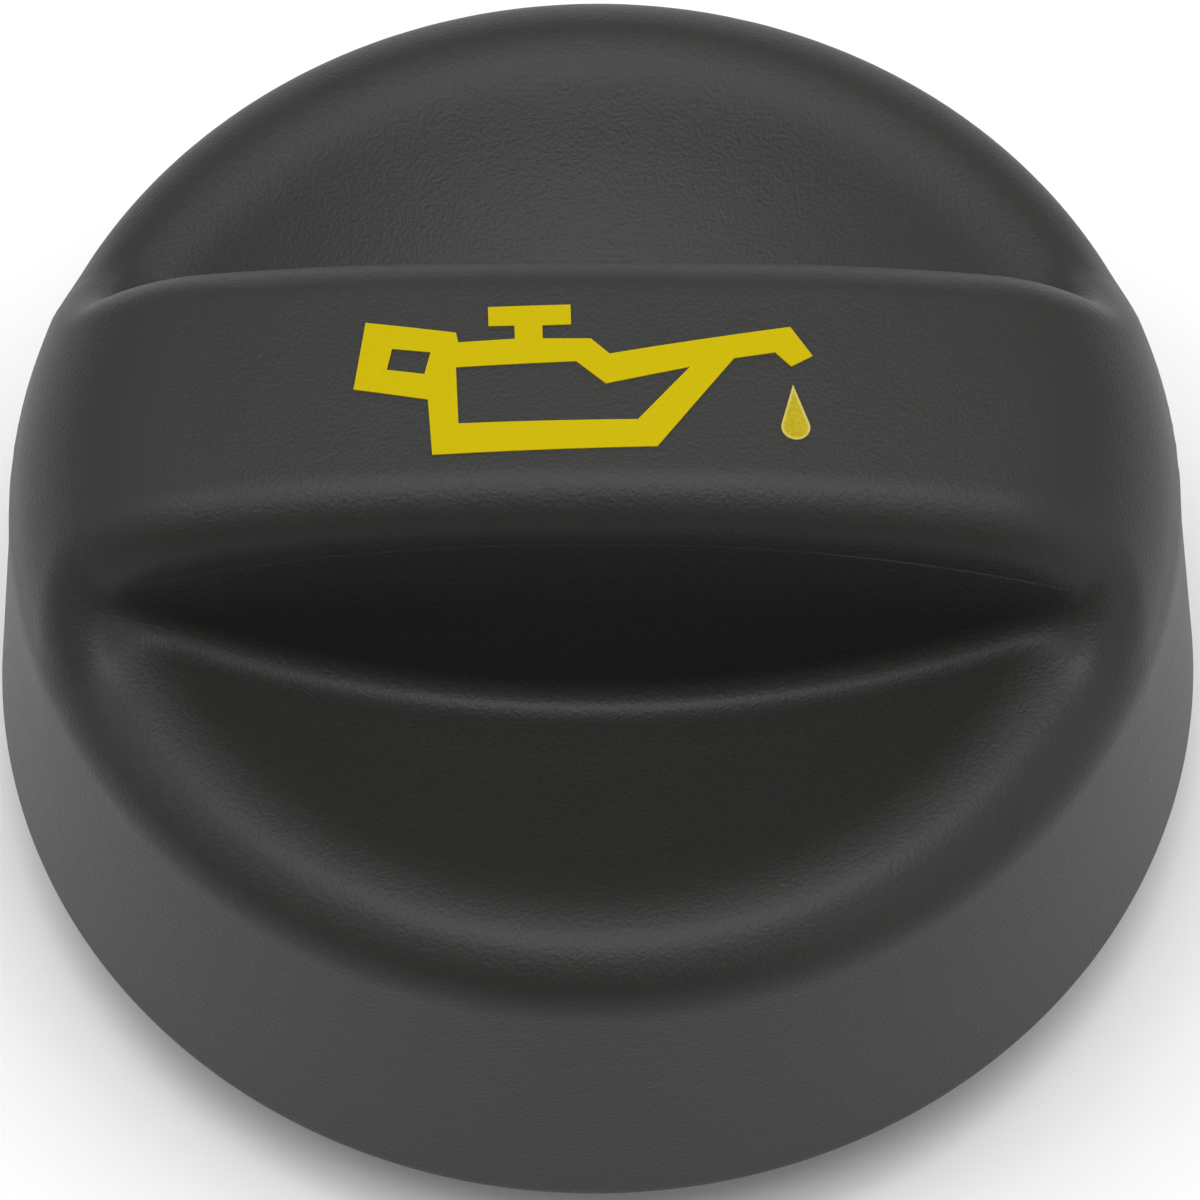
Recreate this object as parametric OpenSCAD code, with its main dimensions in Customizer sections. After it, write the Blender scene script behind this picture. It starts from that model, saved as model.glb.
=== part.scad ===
// Engine oil filler cap: a hollow grip moulding over a bayonet plug with a rubber seal.
// Millimetres. Z is the turning axis, X runs along the grip bar, and the side that faces
// the reader of the printed symbol is -Y. The origin is on the axis, in the plane where the
// seal meets the filler neck.

/* [Grip: skirt and rim] */
// Radius of the skirt at its lower edge
skirt_r = 32.5; // [30:0.5:36]
// Height of the rim's crest above the skirt's lower edge
rim_h = 20.6; // [19:0.1:22]
// How far the skirt's lower edge hangs below the seal plane
skirt_drop = 5; // [3:0.5:6]
// Radius of the rim's crest circle
crest_r = 27.4; // [27:0.1:28.4]
// Rounding from the crest out to the skirt
rim_round = 3.6; // [3:0.1:4]
// Rounding from the crest in to the finger recess
recess_round = 6; // [5:0.5:7]
// Height of the recess floor above the skirt's lower edge, at the middle
bowl_low = 13; // [12.5:0.1:14]
// Wall thickness of the grip moulding
wall = 2.4; // [1.8:0.1:2.6]

/* [Grip: bar] */
// Height of the bar's top above the skirt's lower edge, at the middle
bar_h = 30.2; // [28:0.1:31]
// Half the bar's width, measured at its top
bar_half_w = 7.9; // [7.5:0.1:9.5]
// Draft of the bar's side walls, in degrees
bar_draft = 8.8; // [3:0.2:10]
// Rounding along the bar's two top edges
bar_round = 2.5; // [2.2:0.1:4]
// Radius of the bar's lengthwise crown
crown_r = 147; // [130:1:170]
// Rounding of the bar's ends, down into the skirt
end_round = 11; // [9.5:0.1:11.5]

/* [Grip: inside] */
// Bore of the ring that takes the plug's collar
socket_r = 19.15; // [18.6:0.05:19.5]
// Thickness of that ring
socket_wall = 2; // [1.6:0.1:2.4]
// Number of stiffening ribs between that ring and the skirt
rib_count = 12; // [8:4:16]
// Thickness of a stiffening rib
rib_t = 1.5; // [1.2:0.1:2]
// Height of the ribs' lower edge above the seal plane
rib_low = 4.8; // [4.8:0.1:6]

/* [Plug] */
// Radius of the tube that enters the filler neck
plug_r = 17.5; // [16.5:0.1:18]
// Wall thickness of the tube
plug_wall = 2.2; // [2:0.1:2.6]
// How far the tube reaches below the seal plane
plug_len = 11; // [10:0.5:13]
// Radius of the flange above the seal
flange_r = 22.5; // [22:0.1:23]
// Thickness of the flange and the closing disc
flange_t = 2.2; // [2:0.1:2.6]
// Height of the collar above the flange
collar_h = 2.6; // [2:0.1:3]
// Number of bayonet lugs
lug_count = 3; // [2:1:4]
// Radius over the lugs
lug_r = 20.5; // [20:0.1:21]
// Angle that each lug spans, in degrees
lug_span = 38; // [30:1:44]
// Height of each lug
lug_h = 3.2; // [2.8:0.1:3.6]
// Lead of the ramp on top of a lug, in degrees
lug_ramp = 4; // [2:0.5:5]

/* [Seal] */
// Thickness of the seal ring
seal_t = 2.6; // [2.2:0.1:3]
// Outer radius of the seal ring
seal_r = 21.8; // [21:0.1:22]
// Depth of the groove in the tube that holds the seal ring
seal_groove = 0.5; // [0.3:0.1:0.7]

/* [Print] */
// Thickness of the ink
ink_t = 0.08; // [0.06:0.01:0.15]
// How far the symbol is turned against the bar, in degrees
print_turn = 2; // [0:0.5:4]
// How far the symbol sits in front of the bar's middle line
print_shift = 0.65; // [0:0.05:1]
// Radius of the drop's round end
drop_r = 0.75; // [0.6:0.05:0.9]

/* [Hidden] */
$fn = 160;

far = 100;
rim_z = rim_h - rim_round;
inner_z = rim_h - recess_round;

// The recess floor is a bowl that runs into the rim's inner rounding without a kink
recess_h = inner_z - bowl_low;
bowl_r = (pow(crest_r, 2) + pow(recess_h, 2) - pow(recess_round, 2)) / (2 * (recess_h + recess_round));
bowl_z = bowl_low + bowl_r;
skirt_draft = atan((skirt_r - crest_r - rim_round) / rim_z);
bowl_edge = asin(crest_r / (bowl_r + recess_round));

// The bar's ends: an arc that meets the crown at a shallow angle and ends upright, just inside the skirt
end_slope = 14;
end_inset = 0.1;
end_r = crest_r + rim_round - end_round - end_inset;
meet_r = end_r + end_round * sin(end_slope);
end_z = bar_h - pow(meet_r, 2) / (2 * crown_r) - end_round * cos(end_slope);
bar_depth = 19;
bar_swing = 15;
hollow_swing = 13;
hollow_round = 1;

flange_z = seal_t;
collar_z = flange_z + flange_t;
collar_gap = 0.1;
collar_t = 2;
edge_round = 0.5;
ring_top = 16;
ramp_dip = 0.6;
print_w = 20;

// The oil can in its own straight frame, X to the right and Y up
can_outline = [
    [-11.7, 4.55], [-7, 3.6], [-6.9, 3], [-3.95, 3.05], [-3.95, 3.85], [-5.3, 3.9],
    [-5.3, 5.05], [-1, 5], [-1, 3.8], [-2.5, 3.8], [-2.5, 3], [0, 2.9], [0.95, 1.95],
    [10.4, 3.45], [11.5, 1.7], [10.35, 1.05], [9.55, 1.9], [7.4, 1.55], [3.25, -3.7],
    [-8.4, -3.7], [-8.55, -0.35], [-12.4, 0.55]
];
handle_hole = [[-10.35, 2.85], [-8.35, 2.5], [-8.7, 1.2], [-10.65, 1.6]];
body_hole = [[-7.05, 1.5], [-0.8, 1.55], [0.7, 0.15], [5.1, 1.05], [2.3, -2.05], [-7, -1.9]];
drop_tip = [10.4, -0.05];
drop_at = [10.45, -2.6];

// Points of an arc about [x, z], with angles counted from straight up towards +X
function arc(x, z, r, from, to, steps) = [
    for (i = [0 : steps])
        let (a = from + (to - from) * i / steps)
        [x + r * sin(a), z + r * cos(a)]
];

// Half section of the grip's round body, with every outside face moved in by t.
// Heights count from the skirt's lower edge.
module body_section(t) {
    low = t > 0 ? -1 : 0;
    edge = skirt_r - t - low * tan(skirt_draft);
    polygon(concat(
        [[0, low], [edge, low]],
        arc(crest_r, rim_z, rim_round - t, 90 - skirt_draft, 8, 7),
        arc(crest_r, inner_z, recess_round - t, 0, -bowl_edge, 4),
        arc(0, bowl_z, bowl_r + t, 180 - bowl_edge * 7 / 8, 180, 7)
    ));
}

// Half section that the bar's ends are turned to, moved in by t
module end_section(t) {
    r = end_round - t;
    peak = end_z + r * cos(end_slope) + (end_r + r * sin(end_slope)) * tan(end_slope);
    polygon(concat(
        [[0, peak]],
        arc(end_r, end_z, r, end_slope, 90, 8),
        [[end_r + r, 0], [0, 0]]
    ));
}

// Cross-section of the bar, with its top at the crown's radius, moved in by t
module bar_section(t, round_r) {
    half = bar_half_w - t / cos(bar_draft) + t * tan(bar_draft);
    corner = half + round_r * tan(bar_draft) - round_r / cos(bar_draft);
    foot = half + bar_depth * tan(bar_draft);
    top = crown_r - t;
    right = [
        for (p = arc(corner, top - round_r, round_r, 0, 90 - bar_draft, round_r > 2 ? 6 : 3))
            [p[1], p[0]]
    ];
    polygon(concat(
        right,
        [[top - bar_depth, foot], [top - bar_depth, -foot]],
        [for (i = [len(right) - 1 : -1 : 0]) [right[i][0], -right[i][1]]]
    ));
}

// The bar: its cross-section swept along the crown, with turned ends
module bar(t, round_r, swing) {
    intersection() {
        translate([0, 0, bar_h - crown_r])
            rotate([90, 0, 0])
            rotate([0, 0, 90 - swing])
            rotate_extrude(angle = 2 * swing)
            bar_section(t, round_r);
        rotate_extrude() end_section(t);
    }
}

// Ribs between the socket ring and the skirt, turned clear of the bar's ends
module ribs() {
    step = 360 / rib_count;
    intersection() {
        for (i = [0 : rib_count - 1])
            rotate([0, 0, (i + 0.5) * step])
            translate([socket_r + socket_wall / 2, -rib_t / 2, skirt_drop + rib_low])
            cube([skirt_r, rib_t, rim_h]);
        rotate_extrude() body_section(wall / 2);
    }
}

module grip_cap() {
    color([0.16, 0.165, 0.165])
        translate([0, 0, -skirt_drop])
        union() {
            difference() {
                union() {
                    rotate_extrude() body_section(0);
                    bar(0, bar_round, bar_swing);
                }
                union() {
                    rotate_extrude() body_section(wall);
                    bar(wall, hollow_round, hollow_swing);
                }
            }
            rotate_extrude()
                translate([socket_r, skirt_drop + collar_z])
                square([socket_wall, ring_top - skirt_drop - collar_z]);
            ribs();
        }
}

// One bayonet lug with a ramp on its top, which draws the cap down as it turns
module lug() {
    in_r = plug_r - plug_wall / 2;
    difference() {
        rotate([0, 0, -lug_span / 2])
            rotate_extrude(angle = lug_span)
            translate([in_r, -plug_len])
            square([lug_r - in_r, lug_h]);
        translate([in_r - 1, 0, -plug_len + lug_h - ramp_dip])
            rotate([lug_ramp, 0, 0])
            translate([0, -far / 2, 0])
            cube([far, far, far]);
    }
}

module closure_plug() {
    in_r = plug_r - plug_wall;
    collar_r = socket_r - collar_gap;
    color([0.12, 0.12, 0.125]) {
        rotate_extrude()
            polygon([
                [0, flange_z],
                [in_r, flange_z],
                [in_r, -plug_len],
                [plug_r - edge_round, -plug_len],
                [plug_r, -plug_len + edge_round],
                [plug_r, 0],
                [plug_r - seal_groove, 0],
                [plug_r - seal_groove, flange_z],
                [flange_r, flange_z],
                [flange_r, collar_z],
                [collar_r, collar_z],
                [collar_r, collar_z + collar_h],
                [collar_r - collar_t, collar_z + collar_h],
                [collar_r - collar_t, collar_z],
                [0, collar_z]
            ]);
        for (i = [0 : lug_count - 1])
            rotate([0, 0, i * 360 / lug_count]) lug();
    }
}

module seal_ring() {
    in_r = plug_r - seal_groove;
    color([0.07, 0.07, 0.07])
        rotate_extrude()
        polygon([
            [in_r, 0],
            [seal_r - edge_round, 0],
            [seal_r, edge_round],
            [seal_r, seal_t - edge_round],
            [seal_r - edge_round, seal_t],
            [in_r, seal_t]
        ]);
}

// Lays a flat figure on the crowned top of the bar, as thick as the ink
module on_crown() {
    intersection() {
        linear_extrude(height = far)
            translate([0, -print_shift])
            rotate(print_turn)
            children();
        translate([0, 0, bar_h - skirt_drop - crown_r])
            rotate([90, 0, 0])
            difference() {
                cylinder(r = crown_r + ink_t, h = print_w, center = true, $fn = 720);
                cylinder(r = crown_r, h = print_w + 2, center = true, $fn = 720);
            }
    }
}

module oil_can_print() {
    color([0.84, 0.75, 0.06])
        on_crown()
        difference() {
            polygon(can_outline);
            polygon(handle_hole);
            polygon(body_hole);
        }
}

module oil_drop_print() {
    reach = norm(drop_tip - drop_at);
    lean = atan2(drop_tip[0] - drop_at[0], drop_tip[1] - drop_at[1]);
    open = acos(drop_r / reach);
    color([0.78, 0.66, 0.16])
        on_crown()
        polygon(concat([drop_tip], arc(drop_at[0], drop_at[1], drop_r, lean + open, lean + 360 - open, 24)));
}

grip_cap();
closure_plug();
seal_ring();
oil_can_print();
oil_drop_print();
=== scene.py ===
import math

import bmesh
import bpy
from mathutils import Matrix, Vector


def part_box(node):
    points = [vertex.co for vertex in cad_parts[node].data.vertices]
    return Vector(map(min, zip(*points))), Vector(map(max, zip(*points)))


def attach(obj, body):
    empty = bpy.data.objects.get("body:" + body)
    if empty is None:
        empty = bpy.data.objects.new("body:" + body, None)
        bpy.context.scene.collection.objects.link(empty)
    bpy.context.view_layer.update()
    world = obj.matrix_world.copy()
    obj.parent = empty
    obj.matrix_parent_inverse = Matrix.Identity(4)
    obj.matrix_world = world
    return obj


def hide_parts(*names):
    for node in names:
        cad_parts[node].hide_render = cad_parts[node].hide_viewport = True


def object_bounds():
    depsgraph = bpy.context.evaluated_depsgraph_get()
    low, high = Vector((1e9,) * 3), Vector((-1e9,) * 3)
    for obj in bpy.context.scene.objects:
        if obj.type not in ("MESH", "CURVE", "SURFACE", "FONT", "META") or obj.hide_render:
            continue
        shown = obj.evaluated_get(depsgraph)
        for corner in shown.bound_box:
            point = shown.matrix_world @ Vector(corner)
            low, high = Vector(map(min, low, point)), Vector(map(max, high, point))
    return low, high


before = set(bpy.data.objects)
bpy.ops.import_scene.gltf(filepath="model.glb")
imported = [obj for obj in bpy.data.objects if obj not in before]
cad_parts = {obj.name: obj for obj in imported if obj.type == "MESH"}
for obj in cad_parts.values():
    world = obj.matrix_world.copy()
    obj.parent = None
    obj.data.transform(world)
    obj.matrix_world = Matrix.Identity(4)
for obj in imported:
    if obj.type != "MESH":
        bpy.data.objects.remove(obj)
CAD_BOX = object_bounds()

bl_info = {
    "name": "Oil filler cap",
    "version": (1, 0, 0),
    "blender": (4, 5, 0),
    "location": "3D View > Sidebar > Oil Cap",
    "description": "Builds an engine oil filler cap: grip, printed oil can, bayonet plug and seal",
    "category": "Add Mesh",
}

BODY = "root"
GRIP_LOW, GRIP_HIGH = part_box("grip_cap")
PLUG_LOW, PLUG_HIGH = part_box("closure_plug")
SEAL_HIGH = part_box("seal_ring")[1]
FLOOR_Z = CAD_BOX[0].z
FLOOR_HALF = 1.5

# Points closer than this are one point
MERGE = 1e-7

# Stations further than this from the middle one (in shares of the whole) are the shell's two poles
POLE = 0.49999

# Points along a rib, steps round a small rounding, and steps from a lug's middle to its end
RIB_POINTS = 17
ROUND_STEPS = 4
LUG_STEPS = 8

# The mould's parting line on the bar's walls, painted lighter as a painted highlight where its ridge catches
# the light: its height at the middle, how far it dips at PARTING_REACH, the power of that dip, its half
# width, how far out it begins, and where it fades out. The painted highlight is faint, and strong from
# PARTING_CRISP on, over a change PARTING_FADE long
PARTING_TOP = 0.0222
PARTING_DIP = 0.0028
PARTING_REACH = 0.0219
PARTING_BEND = 2.2
PARTING_WIDTH = 0.00009
PARTING_CLEAR = 0.0072
PARTING_END = 0.0250
PARTING_FADE = 0.0020
PARTING_CRISP = 0.0110
PARTING_FAINT_HIGHLIGHT = 0.7
PARTING_STRONG_HIGHLIGHT = 1.9

# The face attribute that marks the plug's one modelled lug, and how far the lugs stay above the tube's end
LUG_MARK = "lug"
LUG_LIFT = 0.00005

# The drop's tip leans to the left by this share of its height. Its paler edge is this wide, and this share
# of that width is the change to the darker middle
DROP_LEAN = 0.054
DROP_EDGE = 0.00015
DROP_CHANGE = 0.4

# About how large the grains and clouds of each finish are, and how deep the grip's grain is, in metres
GRIP_GRAIN = 0.00022
GRIP_CLOUD = 0.004
GRIP_DEPTH = 0.0001
PLUG_HAZE = 0.0015
SEAL_BLOOM = 0.0008
INK_GRAIN = 0.00025
DROP_MOTTLE = 0.0002
FLOOR_CLOUD = 0.05

# Soft boxes: name, azimuth and elevation in degrees, width and height in metres, brightness
LAMPS = (
    ("low_back", 90, 15, 0.6, 0.25, 2.52),
    ("back", 90, 55, 0.6, 0.25, 0.94),
    ("high_back", 90, 72, 0.6, 0.25, 2.62),
    ("overhead", 90, 89.9, 0.6, 0.25, 6.19),
    ("high_front", 270, 72, 0.6, 0.25, 4.31),
    ("low_left", 180, 15, 0.5, 0.25, 1.05),
    ("left", 180, 40, 0.5, 0.3, 3.07),
    ("high_left", 180, 65, 0.5, 0.3, 1.23),
    ("low_right", 0, 15, 0.5, 0.25, 2.17),
    ("right", 0, 40, 0.5, 0.3, 1.54),
    ("high_right", 0, 65, 0.5, 0.3, 1.60),
    ("back_left", 135, 30, 0.5, 0.4, 1.20),
    ("back_right", 45, 30, 0.5, 0.4, 1.15),
    ("front_left", 225, 35, 0.5, 0.4, 0.89),
    ("front_right", 315, 35, 0.5, 0.4, 1.74),
    ("low_front_right", 325, 12, 0.6, 0.25, 1.04),
)


class Socket:
    """A node socket. Arithmetic on it adds Math nodes, and node() adds any other node."""

    def __init__(self, tree, socket=None):
        self.tree = tree
        self.socket = socket

    def feed(self, socket, value):
        """Links a Socket to a node's input, or sets the input to a plain value."""
        if isinstance(value, Socket):
            self.tree.links.new(value.socket, socket)
        else:
            socket.default_value = value

    def node(self, kind, settings=None, inputs=None):
        """Adds a node: settings first, then its inputs by position, identifier or name."""
        made = self.tree.nodes.new(kind)
        for name, value in (settings or {}).items():
            setattr(made, name, value)
        for name, value in (inputs or {}).items():
            self.feed(find_socket(made.inputs, name), value)
        return Socket(self.tree, next((s for s in made.outputs if s.enabled), None))

    def out(self, name):
        """Another output of the same node."""
        return Socket(self.tree, find_socket(self.socket.node.outputs, name))

    def math(self, operation, *others):
        """A Math node's result for this value and the others."""
        values = dict(enumerate((self, *others)))
        return self.node("ShaderNodeMath", {"operation": operation}, values)

    def __add__(self, other):
        return self.math("ADD", other)

    def __sub__(self, other):
        return self.math("SUBTRACT", other)

    def __rsub__(self, other):
        return Socket(self.tree).node("ShaderNodeMath", {"operation": "SUBTRACT"}, {0: other, 1: self})

    def __mul__(self, other):
        return self.math("MULTIPLY", other)

    def __truediv__(self, other):
        return self.math("DIVIDE", other)

    def __rtruediv__(self, other):
        return Socket(self.tree).node("ShaderNodeMath", {"operation": "DIVIDE"}, {0: other, 1: self})

    def __pow__(self, other):
        return self.math("POWER", other)

    def __lt__(self, other):
        return self.math("LESS_THAN", other)

    def __gt__(self, other):
        return self.math("GREATER_THAN", other)

    def __abs__(self):
        return self.math("ABSOLUTE")

    def max(self, other):
        return self.math("MAXIMUM", other)

    def min(self, other):
        return self.math("MINIMUM", other)

    def clamped(self):
        """Held between 0 and 1."""
        return self.max(0.0).min(1.0)

    __radd__ = __add__
    __rmul__ = __mul__


def find_socket(sockets, name):
    """A node's socket by its position, identifier or name."""
    if isinstance(name, int):
        return sockets[name]
    for socket in sockets:
        if name in (socket.identifier, socket.name) and socket.enabled:
            return socket
    raise KeyError(f"no socket named {name}")


def pick(mask, yes, no):
    """yes where the mask is 1, and no where it is 0."""
    return no + (yes - no) * mask


def length_of(a, b):
    """Length of the straight line across a right angle with sides a and b."""
    return (a * a + b * b).math("SQRT")


def new_tree(name, sizes):
    """A Geometry Nodes group with one named input for each size. Returns it with its inputs as Sockets."""
    tree = bpy.data.node_groups.new(name, "GeometryNodeTree")
    tree.interface.new_socket("Geometry", in_out="INPUT", socket_type="NodeSocketGeometry")
    kinds = {int: "NodeSocketInt", float: "NodeSocketFloat", bpy.types.Material: "NodeSocketMaterial"}
    for label, value in sizes.items():
        tree.interface.new_socket(label, in_out="INPUT", socket_type=kinds[type(value)])
    tree.interface.new_socket("Geometry", in_out="OUTPUT", socket_type="NodeSocketGeometry")
    inlet = tree.nodes.new("NodeGroupInput")
    return tree, {s.name: Socket(tree, s) for s in inlet.outputs if s.name}


def close_tree(geometry, material):
    """Ends a tree in plain faces of one material."""
    real = geometry.node("GeometryNodeRealizeInstances", {}, {"Geometry": geometry})
    painted = real.node("GeometryNodeSetMaterial", {}, {"Geometry": real, "Material": material})
    outlet = painted.tree.nodes.new("NodeGroupOutput")
    painted.feed(outlet.inputs[0], painted)


def run_tree(name, tree, sizes, start=None):
    """Runs a tree on a mesh and keeps the result as one plain mesh object at the origin."""
    obj = bpy.data.objects.new(name, start or bpy.data.meshes.new(name))
    bpy.context.scene.collection.objects.link(obj)
    modifier = obj.modifiers.new(tree.name, "NODES")
    modifier.node_group = tree
    for item in tree.interface.items_tree:
        if item.in_out == "INPUT" and item.name in sizes:
            modifier[item.identifier] = sizes[item.name]
    graph = bpy.context.evaluated_depsgraph_get()
    mesh = bpy.data.meshes.new_from_object(obj.evaluated_get(graph))
    mesh.name = name
    obj.modifiers.clear()
    obj.data = mesh
    if not mesh.polygons:
        raise RuntimeError(f"{name} came out empty")
    return obj


def skirt_draft(size):
    """The skirt's draft, from its lower edge up to the rim's rounding."""
    rim = size["Rim Rounding"]
    across = size["Skirt Radius"] - size["Crest Radius"] - rim
    return (across / (size["Rim Height"] - rim)).math("ARCTANGENT")


def body_distance(size, r, z):
    """How far a point is outside the turned body: skirt, rim and the bowl of the recesses."""
    crest = size["Crest Radius"]
    rim = size["Rim Rounding"]
    inner = size["Recess Rounding"]
    rim_z = size["Rim Height"] - rim
    inner_z = size["Rim Height"] - inner
    draft = skirt_draft(size)
    out = r - crest
    up = z - rim_z
    across = out * draft.math("COSINE") + up * draft.math("SINE")
    along = up * draft.math("COSINE") - out * draft.math("SINE")
    skirt = length_of(across, along.max(0.0)) - rim
    bowl_z, bowl_r = bowl_of(size)
    turn = (crest / (bowl_r + inner)).math("ARCSINE")
    rise = z - inner_z
    in_bowl = (out * -1.0 * turn.math("COSINE") - rise * turn.math("SINE")) > 0.0
    bowl = bowl_r - length_of(r, z - bowl_z)
    arc = length_of(out, rise) - inner
    return pick(out > 0.0, skirt, pick(in_bowl, bowl, arc))


def bowl_of(size):
    """Centre height and radius of the bowl, which runs into the rim's inner rounding without a kink."""
    crest = size["Crest Radius"]
    inner = size["Recess Rounding"]
    deep = size["Rim Height"] - inner - size["Recess Floor"]
    radius = (crest * crest + deep * deep - inner * inner) / (2.0 * (deep + inner))
    return size["Recess Floor"] + radius, radius


def bar_top(size, x, z, r):
    """How far a point is outside the bar's crowned top and its ends, which round down into the skirt."""
    crown = length_of(x, z - (size["Bar Height"] - size["Crown Radius"])) - size["Crown Radius"]
    ball = size["End Rounding"]
    slope = size["End Slope"]
    end_r = size["Crest Radius"] + size["Rim Rounding"] - ball - size["End Inset"]
    meet_r = end_r + ball * slope.math("SINE")
    drop = meet_r * meet_r / (2.0 * size["Crown Radius"])
    end_z = size["Bar Height"] - drop - ball * slope.math("COSINE")
    out = r - end_r
    up = z - end_z
    high = out * slope.math("SINE") + up * slope.math("COSINE")
    along = out * slope.math("COSINE") - up * slope.math("SINE")
    end = pick(along < 0.0, high, pick(up < 0.0, out, length_of(out, up))) - ball
    blend = size["End Blend"]
    near = ((blend - abs(crown - end)).max(0.0)) / blend
    return crown.max(end) + near * near * blend * 0.25, crown


def grown_together(a, b, fillet):
    """The union of two shapes, given as distances, with a fillet where they meet."""
    return fillet.max(a.min(b)) - length_of((fillet - a).max(0.0), (fillet - b).max(0.0))


def eased(x, start, end):
    """0 before start, 1 after end, and a smooth rise between them."""
    t = ((x - start) / (end - start)).clamped()
    return t * t * (3.0 - 2.0 * t)


def grip_distance(size, x, y, z, inset):
    """How far a point is outside the grip's surface, moved in by inset. The bar's walls grow out of the
    body with a fillet that widens to a flare over the rim, and its top and ends cut both off."""
    r = length_of(x, y)
    body = body_distance(size, r, z)
    top, crown = bar_top(size, x, z, r)
    draft = size["Bar Draft"]
    half = size["Bar Half Width"] + x * x / (2.0 * size["Waist Radius"]) - crown * draft.math("TANGENT")
    side = (abs(y) - half) * draft.math("COSINE")
    widen = eased(r, size["Flare Start"], size["Flare End"])
    walls = grown_together(body, side, pick(widen, size["Flare"], size["Foot Fillet"]))
    edge = size["Bar Rounding"]
    corner = length_of((walls + edge).max(0.0), (top + edge).max(0.0))
    bar = corner + (walls + edge).max(top + edge).min(0.0) - edge
    return grown_together(body + inset, bar + inset, size["Rim Fillet"])


def first_exit(size, x, base, sine, cosine, inset):
    """How far a ray in the plane of x goes before it leaves the grip, by halving steps."""
    begin = Socket(x.tree)
    start = begin.tree.nodes.new("GeometryNodeRepeatInput")
    stop = begin.tree.nodes.new("GeometryNodeRepeatOutput")
    start.pair_with_output(stop)
    stop.repeat_items.clear()
    stop.repeat_items.new("FLOAT", "Reach")
    stop.repeat_items.new("FLOAT", "Step")
    begin.feed(start.inputs["Iterations"], size["Halvings"])
    begin.feed(start.inputs["Reach"], size["Longest Ray"] * 0.5)
    begin.feed(start.inputs["Step"], size["Longest Ray"] * 0.25)
    reach = Socket(x.tree, start.outputs["Reach"])
    step = Socket(x.tree, start.outputs["Step"])
    outside = grip_distance(size, x, reach * sine, base + reach * cosine, inset) > 0.0
    begin.feed(stop.inputs["Reach"], reach + step * (1.0 - 2.0 * outside))
    begin.feed(stop.inputs["Step"], step * 0.5)
    return Socket(x.tree, stop.outputs["Reach"])


def shell_points(size, u, column):
    """Where the point of station u (0 to 1) and loop column lies. The loop runs over the outside of a
    slice, round the skirt's lower edge, back along the inside, and round the edge on the other side."""
    outer, inner, edge_steps = size["Outer Rays"], size["Inner Rays"], size["Edge Steps"]
    total = outer + inner + 2.0 * edge_steps
    rim_z = size["Rim Height"] - size["Rim Rounding"]
    draft = skirt_draft(size)
    edge = size["Edge Rounding"]
    inside = column > (outer + edge_steps - 0.5)
    inset = size["Wall"] * inside
    station = (u - 0.5) * math.pi
    lift = (rim_z - edge) * draft.math("SINE")

    def edge_radius(t):
        """Radius of the skirt's surface, moved in by t, where its lower edge's rounding begins."""
        return size["Crest Radius"] + (size["Rim Rounding"] - t + lift) / draft.math("COSINE")

    x = edge_radius(inset) * station.math("SINE")
    turn_out = (column / outer - 0.5) * math.pi
    turn_in = (0.5 - (column - outer - edge_steps) / inner) * math.pi
    turn = pick(inside, turn_in, turn_out)
    sine, cosine = turn.math("SINE"), turn.math("COSINE")
    at_pole = abs(u - 0.5) > POLE
    reach = first_exit(size, x, edge, sine, cosine, inset) * (1.0 - at_pole)

    half = (edge_steps - 1.0) * 0.5
    step = (column - outer).min(total - column)
    down = (step / half).clamped() * (math.pi / 2)
    back = ((step - half - 1.0) / half).clamped() * (math.pi / 2)
    first = step < (half + 0.5)
    ring_out = edge_radius(0.0) - edge * (1.0 - down.math("COSINE"))
    ring_in = edge_radius(size["Wall"]) + edge * (1.0 - back.math("SINE"))
    ring_r = pick(first, ring_out, ring_in)
    ring_z = pick(first, edge * (1.0 - down.math("SINE")), edge * (1.0 - back.math("COSINE")))
    side = 1.0 - 2.0 * (column > (outer + edge_steps + inner * 0.5))
    on_edge = (step > 0.5) * (step < (edge_steps - 0.5))
    return (
        pick(on_edge, ring_r * station.math("SINE"), x),
        pick(on_edge, ring_r * station.math("COSINE") * side, reach * sine),
        pick(on_edge, ring_z, edge + reach * cosine),
    )


def grip_shell(size):
    """The hollow grip moulding as one closed sheet of quads, from the rule in grip_distance()."""
    columns = size["Outer Rays"] + size["Inner Rays"] + 2.0 * size["Edge Steps"]
    begin = Socket(columns.tree)
    grid = begin.node("GeometryNodeMeshGrid", {}, {
        "Size X": 1.0,
        "Size Y": 1.0,
        "Vertices X": size["Stations"] + 1.0,
        "Vertices Y": columns + 1.0,
    })
    place = begin.node("GeometryNodeInputPosition")
    spot = begin.node("ShaderNodeSeparateXYZ", {}, {0: place})
    column = ((spot.out("Y") + 0.5) * columns).math("ROUND").math("MODULO", columns)
    x, y, z = shell_points(size, spot.out("X") + 0.5, column)
    point = begin.node("ShaderNodeCombineXYZ", {}, {"X": x, "Y": y, "Z": z - size["Skirt Drop"]})
    moved = begin.node("GeometryNodeSetPosition", {}, {"Geometry": grid, "Position": point})
    return begin.node("GeometryNodeMergeByDistance", {}, {"Geometry": moved, "Distance": MERGE})


def wall_height(size, r, inset):
    """Height of the body's surface at radius r, moved in by inset."""
    crest = size["Crest Radius"]
    rim = size["Rim Rounding"] - inset
    inner = size["Recess Rounding"] - inset
    bowl_z, bowl_r = bowl_of(size)
    turn = (crest / (bowl_r + size["Recess Rounding"])).math("ARCSINE")
    out = r - crest
    bowl = bowl_z - ((bowl_r + inset) * (bowl_r + inset) - r * r).math("SQRT")
    arc = size["Rim Height"] - size["Recess Rounding"] + (inner * inner - out * out).max(0.0).math("SQRT")
    skirt = size["Rim Height"] - size["Rim Rounding"] + (rim * rim - out * out).max(0.0).math("SQRT")
    in_bowl = (out + inner * turn.math("SINE")) < 0.0
    return pick(out > 0.0, skirt, pick(in_bowl, bowl, arc))


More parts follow.
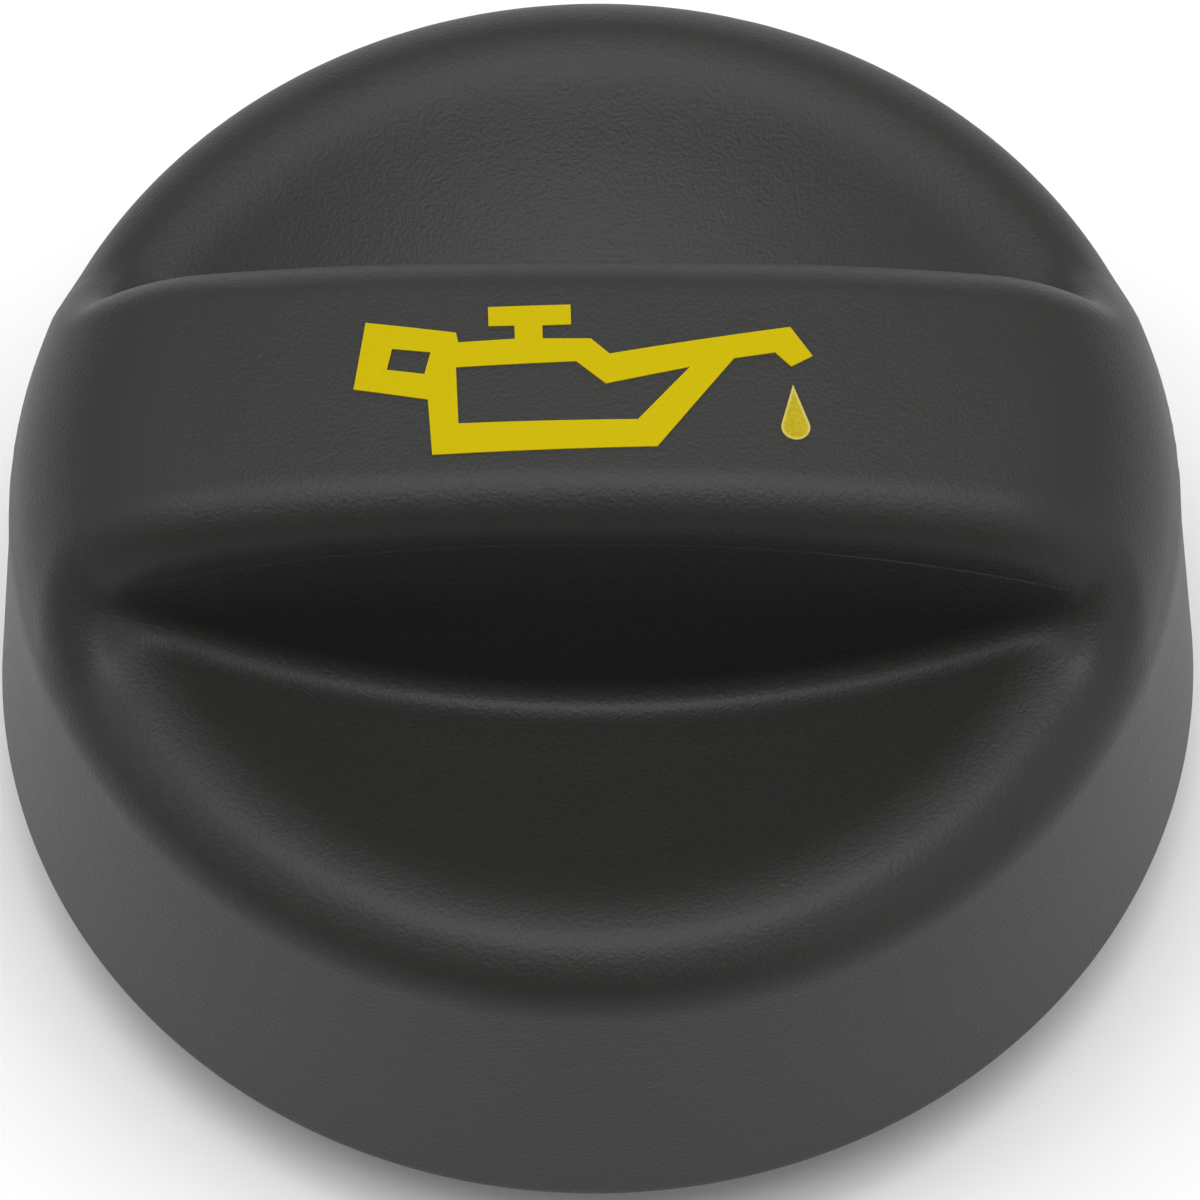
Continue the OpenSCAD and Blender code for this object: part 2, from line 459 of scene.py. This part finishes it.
def socket_ring(size):
    """The ring under the bar that takes the plug's collar, with softened lower edges."""
    begin = Socket(size["Wall"].tree)
    low = size["Ring Low"]
    high = size["Ring Top"]
    bar = begin.node("GeometryNodeCurvePrimitiveQuadrilateral", {}, {
        "Width": size["Ring Wall"], "Height": high - low,
    })
    soft = begin.node("GeometryNodeFilletCurve", {"mode": "POLY"}, {
        "Curve": bar, "Radius": size["Edge Rounding"], "Count": 3,
    })
    path = begin.node("GeometryNodeCurvePrimitiveCircle", {}, {
        "Resolution": size["Ring Steps"], "Radius": size["Ring Bore"] + size["Ring Wall"] * 0.5,
    })
    tube = begin.node("GeometryNodeCurveToMesh", {}, {"Curve": path, "Profile Curve": soft})
    lift = begin.node("ShaderNodeCombineXYZ", {}, {"Z": (low + high) * 0.5})
    return begin.node("GeometryNodeTransform", {}, {"Geometry": tube, "Translation": lift})


def stiffening_ribs(size):
    """Upright ribs from the socket ring out into the skirt, whose tops run inside the grip's wall."""
    begin = Socket(size["Wall"].tree)
    near = size["Ring Bore"] + size["Ring Wall"] * 0.5
    far = size["Rib Reach"]
    rib = begin.node("GeometryNodeMeshCube", {}, {"Size": (1.0, 1.0, 1.0), "Vertices X": RIB_POINTS})
    spot = begin.node("ShaderNodeSeparateXYZ", {}, {0: begin.node("GeometryNodeInputPosition")})
    r = near + (spot.out("X") + 0.5) * (far - near)
    top = wall_height(size, r, size["Wall"] * 0.5) - size["Skirt Drop"]
    z = pick(spot.out("Z") > 0.0, top, size["Rib Low"])
    y = spot.out("Y") * size["Rib Thickness"]
    shape = begin.node("ShaderNodeCombineXYZ", {}, {"X": r, "Y": y, "Z": z})
    rib = begin.node("GeometryNodeSetPosition", {}, {"Geometry": rib, "Position": shape})
    points = begin.node("GeometryNodePoints", {}, {"Count": size["Rib Count"]})
    number = begin.node("GeometryNodeInputIndex")
    turn = begin.node("ShaderNodeCombineXYZ", {}, {"Z": (number + 0.5) * (2.0 * math.pi) / size["Rib Count"]})
    return begin.node("GeometryNodeInstanceOnPoints", {}, {
        "Points": points, "Instance": rib, "Rotation": turn,
    })


def soft_shaded(geometry, crease):
    """Smooth shading, but for edges that bend more than the crease angle."""
    smooth = geometry.node("GeometryNodeSetShadeSmooth", {"domain": "FACE"}, {
        "Geometry": geometry, "Shade Smooth": True,
    })
    bend = geometry.node("GeometryNodeInputMeshEdgeAngle")
    return smooth.node("GeometryNodeSetShadeSmooth", {"domain": "EDGE"}, {
        "Geometry": smooth, "Selection": bend > crease, "Shade Smooth": False,
    })


def grip_tree(sizes):
    """Geometry Nodes for the whole grip moulding: shell, socket ring and ribs in one solid."""
    tree, size = new_tree("Grip moulding by rule", sizes)
    shell = grip_shell(size)
    ring = socket_ring(size)
    ribs = stiffening_ribs(size)
    union = shell.node("GeometryNodeMeshBoolean", {"operation": "UNION", "solver": "MANIFOLD"})
    joined = find_socket(union.socket.node.inputs, "Mesh 2")
    for part in (ribs, ring, shell):
        tree.links.new(part.socket, joined)
    close_tree(soft_shaded(union, size["Crease Angle"]), size["Material"])
    return tree


def plug_tree(sizes):
    """Geometry Nodes that set the one lug round the plug as often as it has lugs, and join all in one
    solid with the plug's turned body."""
    tree, size = new_tree("Plug with its lugs", sizes)
    given = size["Geometry"]
    is_lug = given.node("GeometryNodeInputNamedAttribute", {"data_type": "BOOLEAN"}, {"Name": LUG_MARK})
    lug = given.node("GeometryNodeSeparateGeometry", {"domain": "FACE"}, {
        "Geometry": given, "Selection": is_lug,
    })
    points = given.node("GeometryNodePoints", {}, {"Count": size["Lug Count"]})
    number = given.node("GeometryNodeInputIndex")
    turn = given.node("ShaderNodeCombineXYZ", {}, {"Z": number * (2.0 * math.pi) / size["Lug Count"]})
    lugs = given.node("GeometryNodeInstanceOnPoints", {}, {
        "Points": points, "Instance": lug, "Rotation": turn,
    })
    union = given.node("GeometryNodeMeshBoolean", {"operation": "UNION", "solver": "MANIFOLD"})
    joined = find_socket(union.socket.node.inputs, "Mesh 2")
    for part in (lugs, lug.out("Inverted")):
        tree.links.new(part.socket, joined)
    close_tree(soft_shaded(union, size["Crease Angle"]), size["Material"])
    return tree


def rounded(corners):
    """An outline of radius and height through corners, each given with its rounding."""
    outline = []
    for i, (r, z, rounding) in enumerate(corners):
        here = Vector((r, z))
        if rounding == 0.0:
            outline.append(here)
            continue
        before = (Vector(corners[i - 1][:2]) - here).normalized()
        after = (Vector(corners[(i + 1) % len(corners)][:2]) - here).normalized()
        half = before.angle(after) / 2
        centre = here + (before + after).normalized() * (rounding / math.sin(half))
        start = here + before * (rounding / math.tan(half)) - centre
        end = here + after * (rounding / math.tan(half)) - centre
        for step in range(ROUND_STEPS + 1):
            spoke = start.lerp(end, step / ROUND_STEPS).normalized()
            outline.append(centre + spoke * rounding)
    return outline


def turned(work, outline, steps):
    """Adds a turned shape to a bmesh. An outline that begins and ends on the axis is left open there."""
    rings = []
    for step in range(steps):
        turn = 2 * math.pi * step / steps
        cosine, sine = math.cos(turn), math.sin(turn)
        rings.append([work.verts.new((r * cosine, r * sine, z)) for r, z in outline])
    on_axis = outline[0][0] == 0.0 and outline[-1][0] == 0.0
    spans = len(outline) - 1 if on_axis else len(outline)
    for here, there in zip(rings, rings[1:] + rings[:1]):
        for low in range(spans):
            high = (low + 1) % len(outline)
            work.faces.new((here[low], here[high], there[high], there[low]))


def plug_outline(size):
    """Half section of the plug: disc, tube, groove for the seal, flange and collar."""
    seal, soft = size.seal_thickness, size.soft_edge
    top = seal + size.flange_thickness
    bore = size.tube_radius - size.tube_wall
    neck = size.tube_radius - size.seal_groove
    collar = size.collar_radius
    inside = collar - size.collar_wall
    small = soft * 0.3
    return rounded([
        (0.0, seal, 0.0), (bore, seal, soft * 2), (bore, -size.tube_length, soft),
        (size.tube_radius, -size.tube_length, soft), (size.tube_radius, 0.0, small), (neck, 0.0, small),
        (neck, seal, small), (size.flange_radius, seal, soft), (size.flange_radius, top, soft),
        (collar, top, small), (collar, PLUG_HIGH.z, soft), (inside, PLUG_HIGH.z, soft),
        (inside, top, small), (0.0, top, 0.0),
    ])


def one_lug(work, size):
    """Adds one bayonet lug to a bmesh: a block on the tube, with soft edges and a ramp on top."""
    soft = size.soft_edge
    low = -size.tube_length + LUG_LIFT
    high = -size.tube_length + size.lug_height - size.ramp_dip
    near = size.tube_radius - size.tube_wall / 2
    half = size.lug_span / 2
    quarter = [k * math.pi / 2 / ROUND_STEPS for k in range(ROUND_STEPS + 1)]
    soft_turn = soft / size.lug_radius
    first = [(-half + soft_turn * (1 - math.cos(q)), soft * (1 - math.sin(q))) for q in quarter]
    middle = [(half * k / LUG_STEPS, 0.0) for k in range(1 - LUG_STEPS, LUG_STEPS)]
    last = [(-turn, shrink) for turn, shrink in reversed(first)]
    loops = []
    for turn, shrink in first + middle + last:
        far = size.lug_radius - shrink
        section = rounded([
            (near, low + shrink, 0.0), (far, low + shrink, soft), (far, high - shrink, soft),
            (near, high - shrink, 0.0),
        ])
        loop = []
        for r, z in section:
            x, y = r * math.cos(turn), r * math.sin(turn)
            lift = y * math.tan(size.lug_ramp) * (z - low) / (high - low)
            loop.append(work.verts.new((x, y, z + lift)))
        loops.append(loop)
    faces = [work.faces.new(loops[0]), work.faces.new(loops[-1])]
    for here, there in zip(loops, loops[1:]):
        for a in range(len(here)):
            b = (a + 1) % len(here)
            faces.append(work.faces.new((here[a], here[b], there[b], there[a])))
    return faces


def finish_mesh(work, name):
    """Merges doubles, turns the faces outwards and makes the bmesh a mesh."""
    bmesh.ops.remove_doubles(work, verts=work.verts, dist=MERGE)
    bmesh.ops.recalc_face_normals(work, faces=work.faces)
    for face in work.faces:
        face.smooth = True
    mesh = bpy.data.meshes.new(name)
    work.to_mesh(mesh)
    work.free()
    return mesh


def plug_parts(size):
    """The plug's turned body and one marked lug, for plug_tree() to join."""
    work = bmesh.new()
    mark = work.faces.layers.bool.new(LUG_MARK)
    turned(work, plug_outline(size), size.turn_steps)
    for face in one_lug(work, size):
        face[mark] = True
    return finish_mesh(work, "plug_parts")


def metres(name, value, note, low=0.0):
    """A length in metres that a user may change."""
    return bpy.props.FloatProperty(
        name=name, description=note, default=value, min=low, precision=5,
        subtype="DISTANCE", unit="LENGTH",
    )


def angle(name, degrees, note):
    """An angle that a user gives in degrees."""
    return bpy.props.FloatProperty(
        name=name, description=note, default=math.radians(degrees), subtype="ANGLE", unit="ROTATION",
    )


def colour(name, value, note):
    """A colour that a user may change."""
    return bpy.props.FloatVectorProperty(
        name=name, description=note, default=value, size=3, min=0.0, max=1.0, subtype="COLOR",
    )


def whole(name, value, note):
    """A whole number, 1 or more."""
    return bpy.props.IntProperty(name=name, description=note, default=value, min=1)


class CapGripSizes(bpy.types.PropertyGroup):
    """Sizes of the grip moulding"""

    skirt_radius: metres("Skirt Radius", round(GRIP_HIGH.x, 4), "Radius of the skirt at its lower edge")
    skirt_drop: metres("Skirt Drop", round(-GRIP_LOW.z, 4), "How far the skirt hangs below the seal plane")
    rim_height: metres("Rim Height", 0.0206, "Height of the rim's crest above the skirt's lower edge")
    crest_radius: metres("Crest Radius", 0.0274, "Radius of the circle that the rim's crest follows")
    rim_rounding: metres("Rim Rounding", 0.0036, "Rounding from the crest out to the skirt")
    recess_rounding: metres("Recess Rounding", 0.0060, "Rounding from the crest in to the finger recess")
    recess_floor: metres("Recess Floor", 0.0130, "Height of the recess floor at the middle")
    wall: metres("Wall", 0.0024, "Wall thickness of the moulding")
    bar_height: metres("Bar Height", round(GRIP_HIGH.z - GRIP_LOW.z, 4), "Height of the bar's top")
    bar_half_width: metres("Bar Half Width", 0.0079, "Half the bar's width at its top")
    bar_draft: angle("Bar Draft", 8.8, "Draft of the bar's side walls")
    bar_rounding: metres("Bar Rounding", 0.0025, "Rounding along the bar's top edges")
    crown_radius: metres("Crown Radius", 0.147, "Radius of the bar's lengthwise crown")
    end_rounding: metres("End Rounding", 0.0118, "Rounding of the bar's ends, down into the skirt")
    end_slope: angle("End Slope", 14, "Slope of the bar's top where the rounding of its end begins")
    end_inset: metres("End Inset", 0.0001, "How far the bar's end stays inside the skirt")
    end_blend: metres("End Blend", 0.0008, "Softness of the change from the crown to the bar's end")
    waist_radius: metres("Waist Radius", 0.80, "Radius of the slight hollow of the bar's sides, from above")
    foot_fillet: metres("Foot Fillet", 0.0018, "Fillet between the bar's walls and the recess floors")
    flare: metres("Flare", 0.0075, "Fillet between the bar's walls and the rim")
    flare_start: metres("Flare Start", 0.0250, "Radius where the foot fillet begins to widen")
    flare_end: metres("Flare End", 0.0315, "Radius where the foot fillet has widened to the flare")
    rim_fillet: metres("Rim Fillet", 0.0005, "Fillet where the bar's ends run into the rim's outside")
    edge_rounding: metres("Edge Rounding", 0.0004, "Rounding of the skirt's and socket ring's lower edges")
    ring_bore: metres("Ring Bore", 0.01915, "Bore of the ring that takes the plug's collar")
    ring_wall: metres("Ring Wall", 0.0020, "Thickness of that ring")
    ring_low: metres("Ring Low", 0.0048, "Height of the ring's lower edge above the seal plane")
    ring_top: metres("Ring Top", 0.0110, "Height of the ring's top, inside the bowl's wall")
    rib_count: whole("Rib Count", 12, "Ribs between the socket ring and the skirt")
    rib_thickness: metres("Rib Thickness", 0.0015, "Thickness of a rib")
    rib_low: metres("Rib Low", 0.0048, "Height of the ribs' lower edge above the seal plane")
    rib_reach: metres("Rib Reach", 0.0299, "Radius at which the ribs end, inside the skirt's wall")
    crease_angle: angle("Crease Angle", 40, "Edges that bend more than this stay crisp")
    stations: whole("Stations", 200, "Slices of the moulding across the bar")
    outer_rays: whole("Outer Rays", 260, "Points around the outside of each slice")
    inner_rays: whole("Inner Rays", 120, "Points around the inside of each slice")
    edge_steps: whole("Edge Steps", 9, "Points across the skirt's lower edge")
    ring_steps: whole("Ring Steps", 128, "Points around the socket ring")
    halvings: whole("Halvings", 26, "Halving steps that find the surface along a ray")
    longest_ray: metres("Longest Ray", 0.06, "Longest way from a slice's foot to the surface")


class CapPlugSizes(bpy.types.PropertyGroup):
    """Sizes of the bayonet plug and the seal ring"""

    tube_radius: metres("Tube Radius", 0.0175, "Radius of the tube that enters the filler neck")
    tube_wall: metres("Tube Wall", 0.0022, "Wall thickness of the tube")
    tube_length: metres("Tube Length", round(-PLUG_LOW.z, 4), "How far the tube reaches below the seal plane")
    flange_radius: metres("Flange Radius", round(PLUG_HIGH.x, 4), "Radius of the flange above the seal")
    flange_thickness: metres("Flange Thickness", 0.0022, "Thickness of the flange and the closing disc")
    collar_radius: metres("Collar Radius", 0.01905, "Radius of the collar in the grip's socket ring")
    collar_wall: metres("Collar Wall", 0.0020, "Thickness of the collar")
    seal_thickness: metres("Seal Thickness", round(SEAL_HIGH.z, 4), "Thickness of the seal ring")
    seal_radius: metres("Seal Radius", round(SEAL_HIGH.x, 4), "Outer radius of the seal ring")
    seal_rounding: metres("Seal Rounding", 0.0006, "Rounding of the seal ring's outer edges")
    seal_groove: metres("Seal Groove", 0.0005, "Depth of the groove in the tube that holds the seal ring")
    soft_edge: metres("Soft Edge", 0.0004, "Rounding of the plug's edges")
    lug_count: whole("Lug Count", 3, "Bayonet lugs round the tube")
    lug_radius: metres("Lug Radius", 0.0205, "Radius over the lugs")
    lug_height: metres("Lug Height", 0.0032, "Height of a lug")
    ramp_dip: metres("Ramp Dip", 0.0006, "How far the ramp's middle lies below that height")
    lug_span: angle("Lug Span", 38, "Angle that a lug spans round the tube")
    lug_ramp: angle("Lug Ramp", 4, "Slope of the ramp that draws the cap down")
    crease_angle: angle("Crease Angle", 40, "Edges that bend more than this stay crisp")
    turn_steps: whole("Turn Steps", 192, "Faces round the turned shapes")


class CapColours(bpy.types.PropertyGroup):
    """Colours of the cap's plastics, rubber and inks, and of the floor"""

    grip: colour("Grip", (0.0180, 0.0182, 0.0168), "Charcoal black of the grip moulding")
    plug: colour("Plug", (0.016, 0.016, 0.0165), "Black of the plug")
    seal: colour("Seal", (0.010, 0.010, 0.010), "Black of the rubber seal")
    can_ink: colour("Can Ink", (0.46, 0.36, 0.001), "Yellow ink of the oil can")
    drop_ink: colour("Drop Ink", (0.385, 0.300, 0.010), "Gold ink of the drop")
    drop_edge: colour("Drop Edge", (0.46, 0.40, 0.09), "Paler ink round the drop's edge")
    floor: colour("Floor", (0.85, 0.85, 0.85), "Pale floor")


class CapStage(bpy.types.PropertyGroup):
    """Where the camera and the lamps stand"""

    lens: metres("Lens", 0.2904, "Focal length on a sensor 36 mm wide")
    distance: metres("Camera Distance", 0.520, "From the camera to the cap's middle")
    elevation: angle("Camera Elevation", 60.15, "How far the camera looks down")
    turn: angle("Camera Turn", 1.149, "How far the camera is walked round the cap")
    lean: angle("Camera Lean", 1.0, "How far the cap leans to the left in the picture")
    middle: metres("Middle Height", 0.00475, "Height of the point that the camera is set by")
    aim_right: metres("Aim Right", 0.00019, "How far right of that point the camera aims")
    aim_down: metres("Aim Down", 0.00149, "How far below that point the camera aims")
    lamp_distance: metres("Lamp Distance", 0.90, "From the soft boxes to the cap")


def sizes_of(group, whole_as_float=()):
    """A property group's values under the names that the trees give their inputs. Those named in
    whole_as_float go in as floats, for the maths that they take part in."""
    found = {}
    for key in group.bl_rna.properties.keys():
        if key in ("rna_type", "name"):
            continue
        label = group.bl_rna.properties[key].name
        value = getattr(group, key)
        found[label] = float(value) if key in whole_as_float else value
    return found


def material(name, colour_value, ior=1.5, specular=0.5):
    """A Principled material. Returns it with a starting Socket and its shader node."""
    made = bpy.data.materials.new(name)
    made.use_nodes = True
    made.diffuse_color = (*colour_value, 1.0)
    shader = made.node_tree.nodes["Principled BSDF"]
    shader.inputs["Base Color"].default_value = (*colour_value, 1.0)
    shader.inputs["IOR"].default_value = ior
    shader.inputs["Specular IOR Level"].default_value = specular
    return made, Socket(made.node_tree), shader


def object_place(begin):
    """Object coordinates, in metres."""
    return begin.node("ShaderNodeTexCoord").out("Object")


def parts_of(place):
    """A place's x, y and z."""
    parts = place.node("ShaderNodeSeparateXYZ", {}, {0: place})
    return parts.out("X"), parts.out("Y"), parts.out("Z")


def noise(begin, place, size, detail=2.0, roughness=0.5):
    """Noise whose grains are about that size, in metres."""
    return begin.node("ShaderNodeTexNoise", {}, {
        "Vector": place, "Scale": 1.0 / size, "Detail": detail, "Roughness": roughness,
    })


def tinted(begin, colour_value, shade):
    """A colour made lighter or darker by a Socket around 1."""
    return begin.node("ShaderNodeVectorMath", {"operation": "SCALE"}, {0: colour_value, "Scale": shade})


def grip_plastic(colour_value):
    """Spark-eroded black plastic: a fine grain that breaks up the shine, and a painted highlight along the
    mould's parting line.
    """
    made, begin, shader = material("grip_plastic", colour_value, specular=0.30)
    place = object_place(begin)
    x, y, z = parts_of(place)
    grain = noise(begin, place, GRIP_GRAIN, 3.0, 0.6)
    cloud = noise(begin, place, GRIP_CLOUD)
    seam_z = PARTING_TOP - PARTING_DIP * (abs(x) / PARTING_REACH) ** PARTING_BEND
    # Painted highlight: a thin band along the parting line is made lighter in the base colour, strongest
    # towards +x
    parting_highlight = (1.0 - abs(z - seam_z) / PARTING_WIDTH).clamped() * (abs(y) > PARTING_CLEAR)
    parting_highlight = parting_highlight * ((PARTING_END - abs(x)) / PARTING_FADE).clamped()
    crisp = ((x - PARTING_CRISP) / PARTING_FADE).clamped()
    parting_highlight = parting_highlight * pick(crisp, PARTING_STRONG_HIGHLIGHT, PARTING_FAINT_HIGHLIGHT)
    shade = 1.0 + (grain - 0.5) * 0.5 + (cloud - 0.5) * 0.12 + parting_highlight
    begin.feed(shader.inputs["Base Color"], tinted(begin, colour_value, shade))
    begin.feed(shader.inputs["Roughness"], 0.46 + (grain - 0.5) * 0.16)
    bump = begin.node("ShaderNodeBump", {}, {"Strength": 0.5, "Distance": GRIP_DEPTH, "Height": grain})
    begin.feed(shader.inputs["Normal"], bump)
    return made


def plain_plastic(colour_value):
    """Smooth-moulded black plastic of the plug."""
    made, begin, shader = material("plug_plastic", colour_value)
    haze = noise(begin, object_place(begin), PLUG_HAZE, 3.0)
    begin.feed(shader.inputs["Roughness"], 0.34 + haze * 0.12)
    begin.feed(shader.inputs["Base Color"], tinted(begin, colour_value, 0.85 + haze * 0.3))
    return made


def seal_rubber(colour_value):
    """Matt black rubber with a dusty bloom."""
    made, begin, shader = material("seal_rubber", colour_value, ior=1.45)
    bloom = noise(begin, object_place(begin), SEAL_BLOOM, 4.0, 0.6)
    begin.feed(shader.inputs["Base Color"], tinted(begin, colour_value, 0.7 + bloom * 0.7))
    begin.feed(shader.inputs["Roughness"], 0.68 + bloom * 0.16)
    return made


def can_ink(colour_value):
    """Flat yellow pad-printed ink with a little grain."""
    made, begin, shader = material("yellow_ink", colour_value, specular=0.04)
    grain = noise(begin, object_place(begin), INK_GRAIN)
    begin.feed(shader.inputs["Base Color"], tinted(begin, colour_value, 0.96 + grain * 0.08))
    begin.feed(shader.inputs["Roughness"], 0.42 + grain * 0.1)
    return made


def drop_ink(colour_value, edge_colour):
    """Thin, mottled gold ink with a paler edge."""
    made, begin, shader = material("gold_ink", colour_value, specular=0.08)
    place = object_place(begin)
    x, y = parts_of(place)[:2]
    low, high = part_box("oil_drop_print")
    round_r = (high.x - low.x) / 2
    centre_x, centre_y = (low.x + high.x) / 2, low.y + round_r
    reach = high.y - centre_y
    open_angle = math.asin(round_r / reach)
    up = y - centre_y
    across = (x - centre_x) + up * DROP_LEAN
    from_side = (reach - up) * math.sin(open_angle) - abs(across) * math.cos(open_angle)
    from_round = round_r - length_of(across, up)
    within = pick(up > round_r * math.sin(open_angle), from_side, from_round)
    mottle = noise(begin, place, DROP_MOTTLE, 3.0, 0.7)
    edge = ((DROP_EDGE - within) / (DROP_EDGE * DROP_CHANGE)).clamped()
    ink = begin.node("ShaderNodeMix", {"data_type": "RGBA"}, {
        "Factor_Float": edge,
        "A_Color": tinted(begin, colour_value, 0.6 + mottle * 0.8),
        "B_Color": tinted(begin, edge_colour, 0.8 + mottle * 0.4),
    })
    begin.feed(shader.inputs["Base Color"], ink)
    begin.feed(shader.inputs["Roughness"], 0.4 + mottle * 0.2)
    return made


def floor_paint(colour_value):
    """Matt pale paint with a hardly visible cloudiness."""
    made, begin, shader = material("floor_paint", colour_value)
    shader.inputs["Roughness"].default_value = 0.9
    cloud = noise(begin, object_place(begin), FLOOR_CLOUD)
    begin.feed(shader.inputs["Base Color"], tinted(begin, colour_value, 0.99 + cloud * 0.02))
    return made


def dress(node, finish):
    """Gives a CAD node its finish."""
    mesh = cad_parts[node].data
    mesh.materials.clear()
    mesh.materials.append(finish)


class CAP_OT_grip(bpy.types.Operator):
    """Makes the grip moulding: skirt, rim, finger recesses, bar, socket ring and ribs"""

    bl_idname = "oil_cap.grip"
    bl_label = "Grip"

    def execute(self, context):
        sizes = sizes_of(context.scene.cap_grip, ("outer_rays", "inner_rays", "edge_steps"))
        sizes["Material"] = grip_plastic(tuple(context.scene.cap_colours.grip))
        grip = run_tree("grip_moulding", grip_tree(sizes), sizes)
        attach(grip, BODY)
        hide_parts("grip_cap")
        return {"FINISHED"}


class CAP_OT_print(bpy.types.Operator):
    """Inks the oil can and the drop on the bar"""

    bl_idname = "oil_cap.print"
    bl_label = "Printed Oil Can"

    def execute(self, context):
        colours = context.scene.cap_colours
        dress("oil_can_print", can_ink(tuple(colours.can_ink)))
        dress("oil_drop_print", drop_ink(tuple(colours.drop_ink), tuple(colours.drop_edge)))
        return {"FINISHED"}


class CAP_OT_plug(bpy.types.Operator):
    """Finishes the bayonet plug that goes into the filler neck"""

    bl_idname = "oil_cap.plug"
    bl_label = "Bayonet Plug"

    def execute(self, context):
        size = context.scene.cap_plug
        sizes = {
            "Lug Count": size.lug_count,
            "Crease Angle": size.crease_angle,
            "Material": plain_plastic(tuple(context.scene.cap_colours.plug)),
        }
        plug = run_tree("bayonet_plug", plug_tree(sizes), sizes, plug_parts(size))
        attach(plug, BODY)
        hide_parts("closure_plug")
        return {"FINISHED"}


class CAP_OT_seal(bpy.types.Operator):
    """Finishes the rubber ring that seals the cap on the filler neck"""

    bl_idname = "oil_cap.seal"
    bl_label = "Seal Ring"

    def execute(self, context):
        size = context.scene.cap_plug
        inside = size.tube_radius - size.seal_groove
        soft = size.seal_rounding
        work = bmesh.new()
        outline = rounded([
            (inside, 0.0, soft / 4),
            (size.seal_radius, 0.0, soft),
            (size.seal_radius, size.seal_thickness, soft),
            (inside, size.seal_thickness, soft / 4),
        ])
        turned(work, outline, size.turn_steps)
        seal = bpy.data.objects.new("rubber_seal", finish_mesh(work, "rubber_seal"))
        seal.data.materials.append(seal_rubber(tuple(context.scene.cap_colours.seal)))
        context.scene.collection.objects.link(seal)
        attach(seal, BODY)
        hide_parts("seal_ring")
        return {"FINISHED"}


def make_camera(stage):
    """A long lens at the photograph's viewing angle, leaning as the photograph does."""
    round_z = Matrix.Rotation(stage.turn, 3, "Z")
    right = round_z @ Vector((1.0, 0.0, 0.0))
    back = round_z @ Vector((0.0, -math.cos(stage.elevation), math.sin(stage.elevation)))
    up = back.cross(right)
    middle = Vector((0.0, 0.0, stage.middle))
    eye = middle + back * stage.distance
    aim = middle + right * stage.aim_right - up * stage.aim_down
    look = (aim - eye).normalized()
    lean = Matrix.Rotation(stage.lean, 3, look)
    side = lean @ look.cross(up).normalized()
    top = side.cross(look)
    data = bpy.data.cameras.new("camera")
    data.sensor_width = 36.0
    data.lens = stage.lens * 1000.0
    data.clip_start, data.clip_end = 0.01, 10.0
    camera = bpy.data.objects.new("camera", data)
    pose = Matrix((side, top, -look)).transposed().to_4x4()
    pose.translation = eye
    camera.matrix_world = pose
    bpy.context.scene.collection.objects.link(camera)
    bpy.context.scene.camera = camera


def make_lamp(name, azimuth, elevation, width, height, brightness, distance):
    """A soft box that faces the cap. Its brightness is that of its face, whatever its size."""
    data = bpy.data.lights.new(name, "AREA")
    data.shape = "RECTANGLE"
    data.size, data.size_y = width, height
    data.energy = brightness * math.pi * width * height
    lamp = bpy.data.objects.new(name, data)
    turn, rise = math.radians(azimuth), math.radians(elevation)
    away = Vector((math.cos(turn) * math.cos(rise), math.sin(turn) * math.cos(rise), math.sin(rise)))
    lamp.location = away * distance
    lamp.rotation_mode = "QUATERNION"
    lamp.rotation_quaternion = away.to_track_quat("Z", "Y")
    bpy.context.scene.collection.objects.link(lamp)


def make_floor(colour_value):
    """A pale floor that the plug's lower end stands on."""
    mesh = bpy.data.meshes.new("floor")
    signs = ((-1, -1), (1, -1), (1, 1), (-1, 1))
    corners = [(x * FLOOR_HALF, y * FLOOR_HALF, FLOOR_Z) for x, y in signs]
    mesh.from_pydata(corners, [], [(0, 1, 2, 3)])
    mesh.materials.append(floor_paint(colour_value))
    floor = bpy.data.objects.new("floor", mesh)
    bpy.context.scene.collection.objects.link(floor)


class CAP_OT_stage(bpy.types.Operator):
    """Sets the camera, the pale floor and the soft studio light"""

    bl_idname = "oil_cap.stage"
    bl_label = "Stage"

    def execute(self, context):
        stage = context.scene.cap_stage
        make_camera(stage)
        make_floor(tuple(context.scene.cap_colours.floor))
        for lamp in LAMPS:
            make_lamp(*lamp, stage.lamp_distance)
        context.scene.view_settings.view_transform = "Standard"
        return {"FINISHED"}


class CAP_PT_panel(bpy.types.Panel):
    """Lists the cap's steps and its sizes in the 3D view's sidebar"""

    bl_label = "Oil Filler Cap"
    bl_space_type = "VIEW_3D"
    bl_region_type = "UI"
    bl_category = "Oil Cap"

    def draw(self, context):
        for step in STEPS:
            self.layout.operator(step.bl_idname)
        for name in GROUPS:
            group = getattr(context.scene, name)
            box = self.layout.box()
            for key in group.bl_rna.properties.keys():
                if key not in ("rna_type", "name"):
                    box.prop(group, key)


STEPS = (CAP_OT_stage, CAP_OT_grip, CAP_OT_print, CAP_OT_plug, CAP_OT_seal)
GROUPS = {
    "cap_grip": CapGripSizes,
    "cap_plug": CapPlugSizes,
    "cap_colours": CapColours,
    "cap_stage": CapStage,
}
CLASSES = (*GROUPS.values(), *STEPS, CAP_PT_panel)


def register():
    """Registers the classes and gives the scene its property groups."""
    for kind in CLASSES:
        bpy.utils.register_class(kind)
    for name, group in GROUPS.items():
        setattr(bpy.types.Scene, name, bpy.props.PointerProperty(type=group))


def unregister():
    """Takes the property groups and the classes away again."""
    for name in GROUPS:
        delattr(bpy.types.Scene, name)
    for kind in reversed(CLASSES):
        bpy.utils.unregister_class(kind)


def main():
    register()
    for step in STEPS:
        group, name = step.bl_idname.split(".")
        getattr(getattr(bpy.ops, group), name)()


if __name__ == "__main__":
    main()
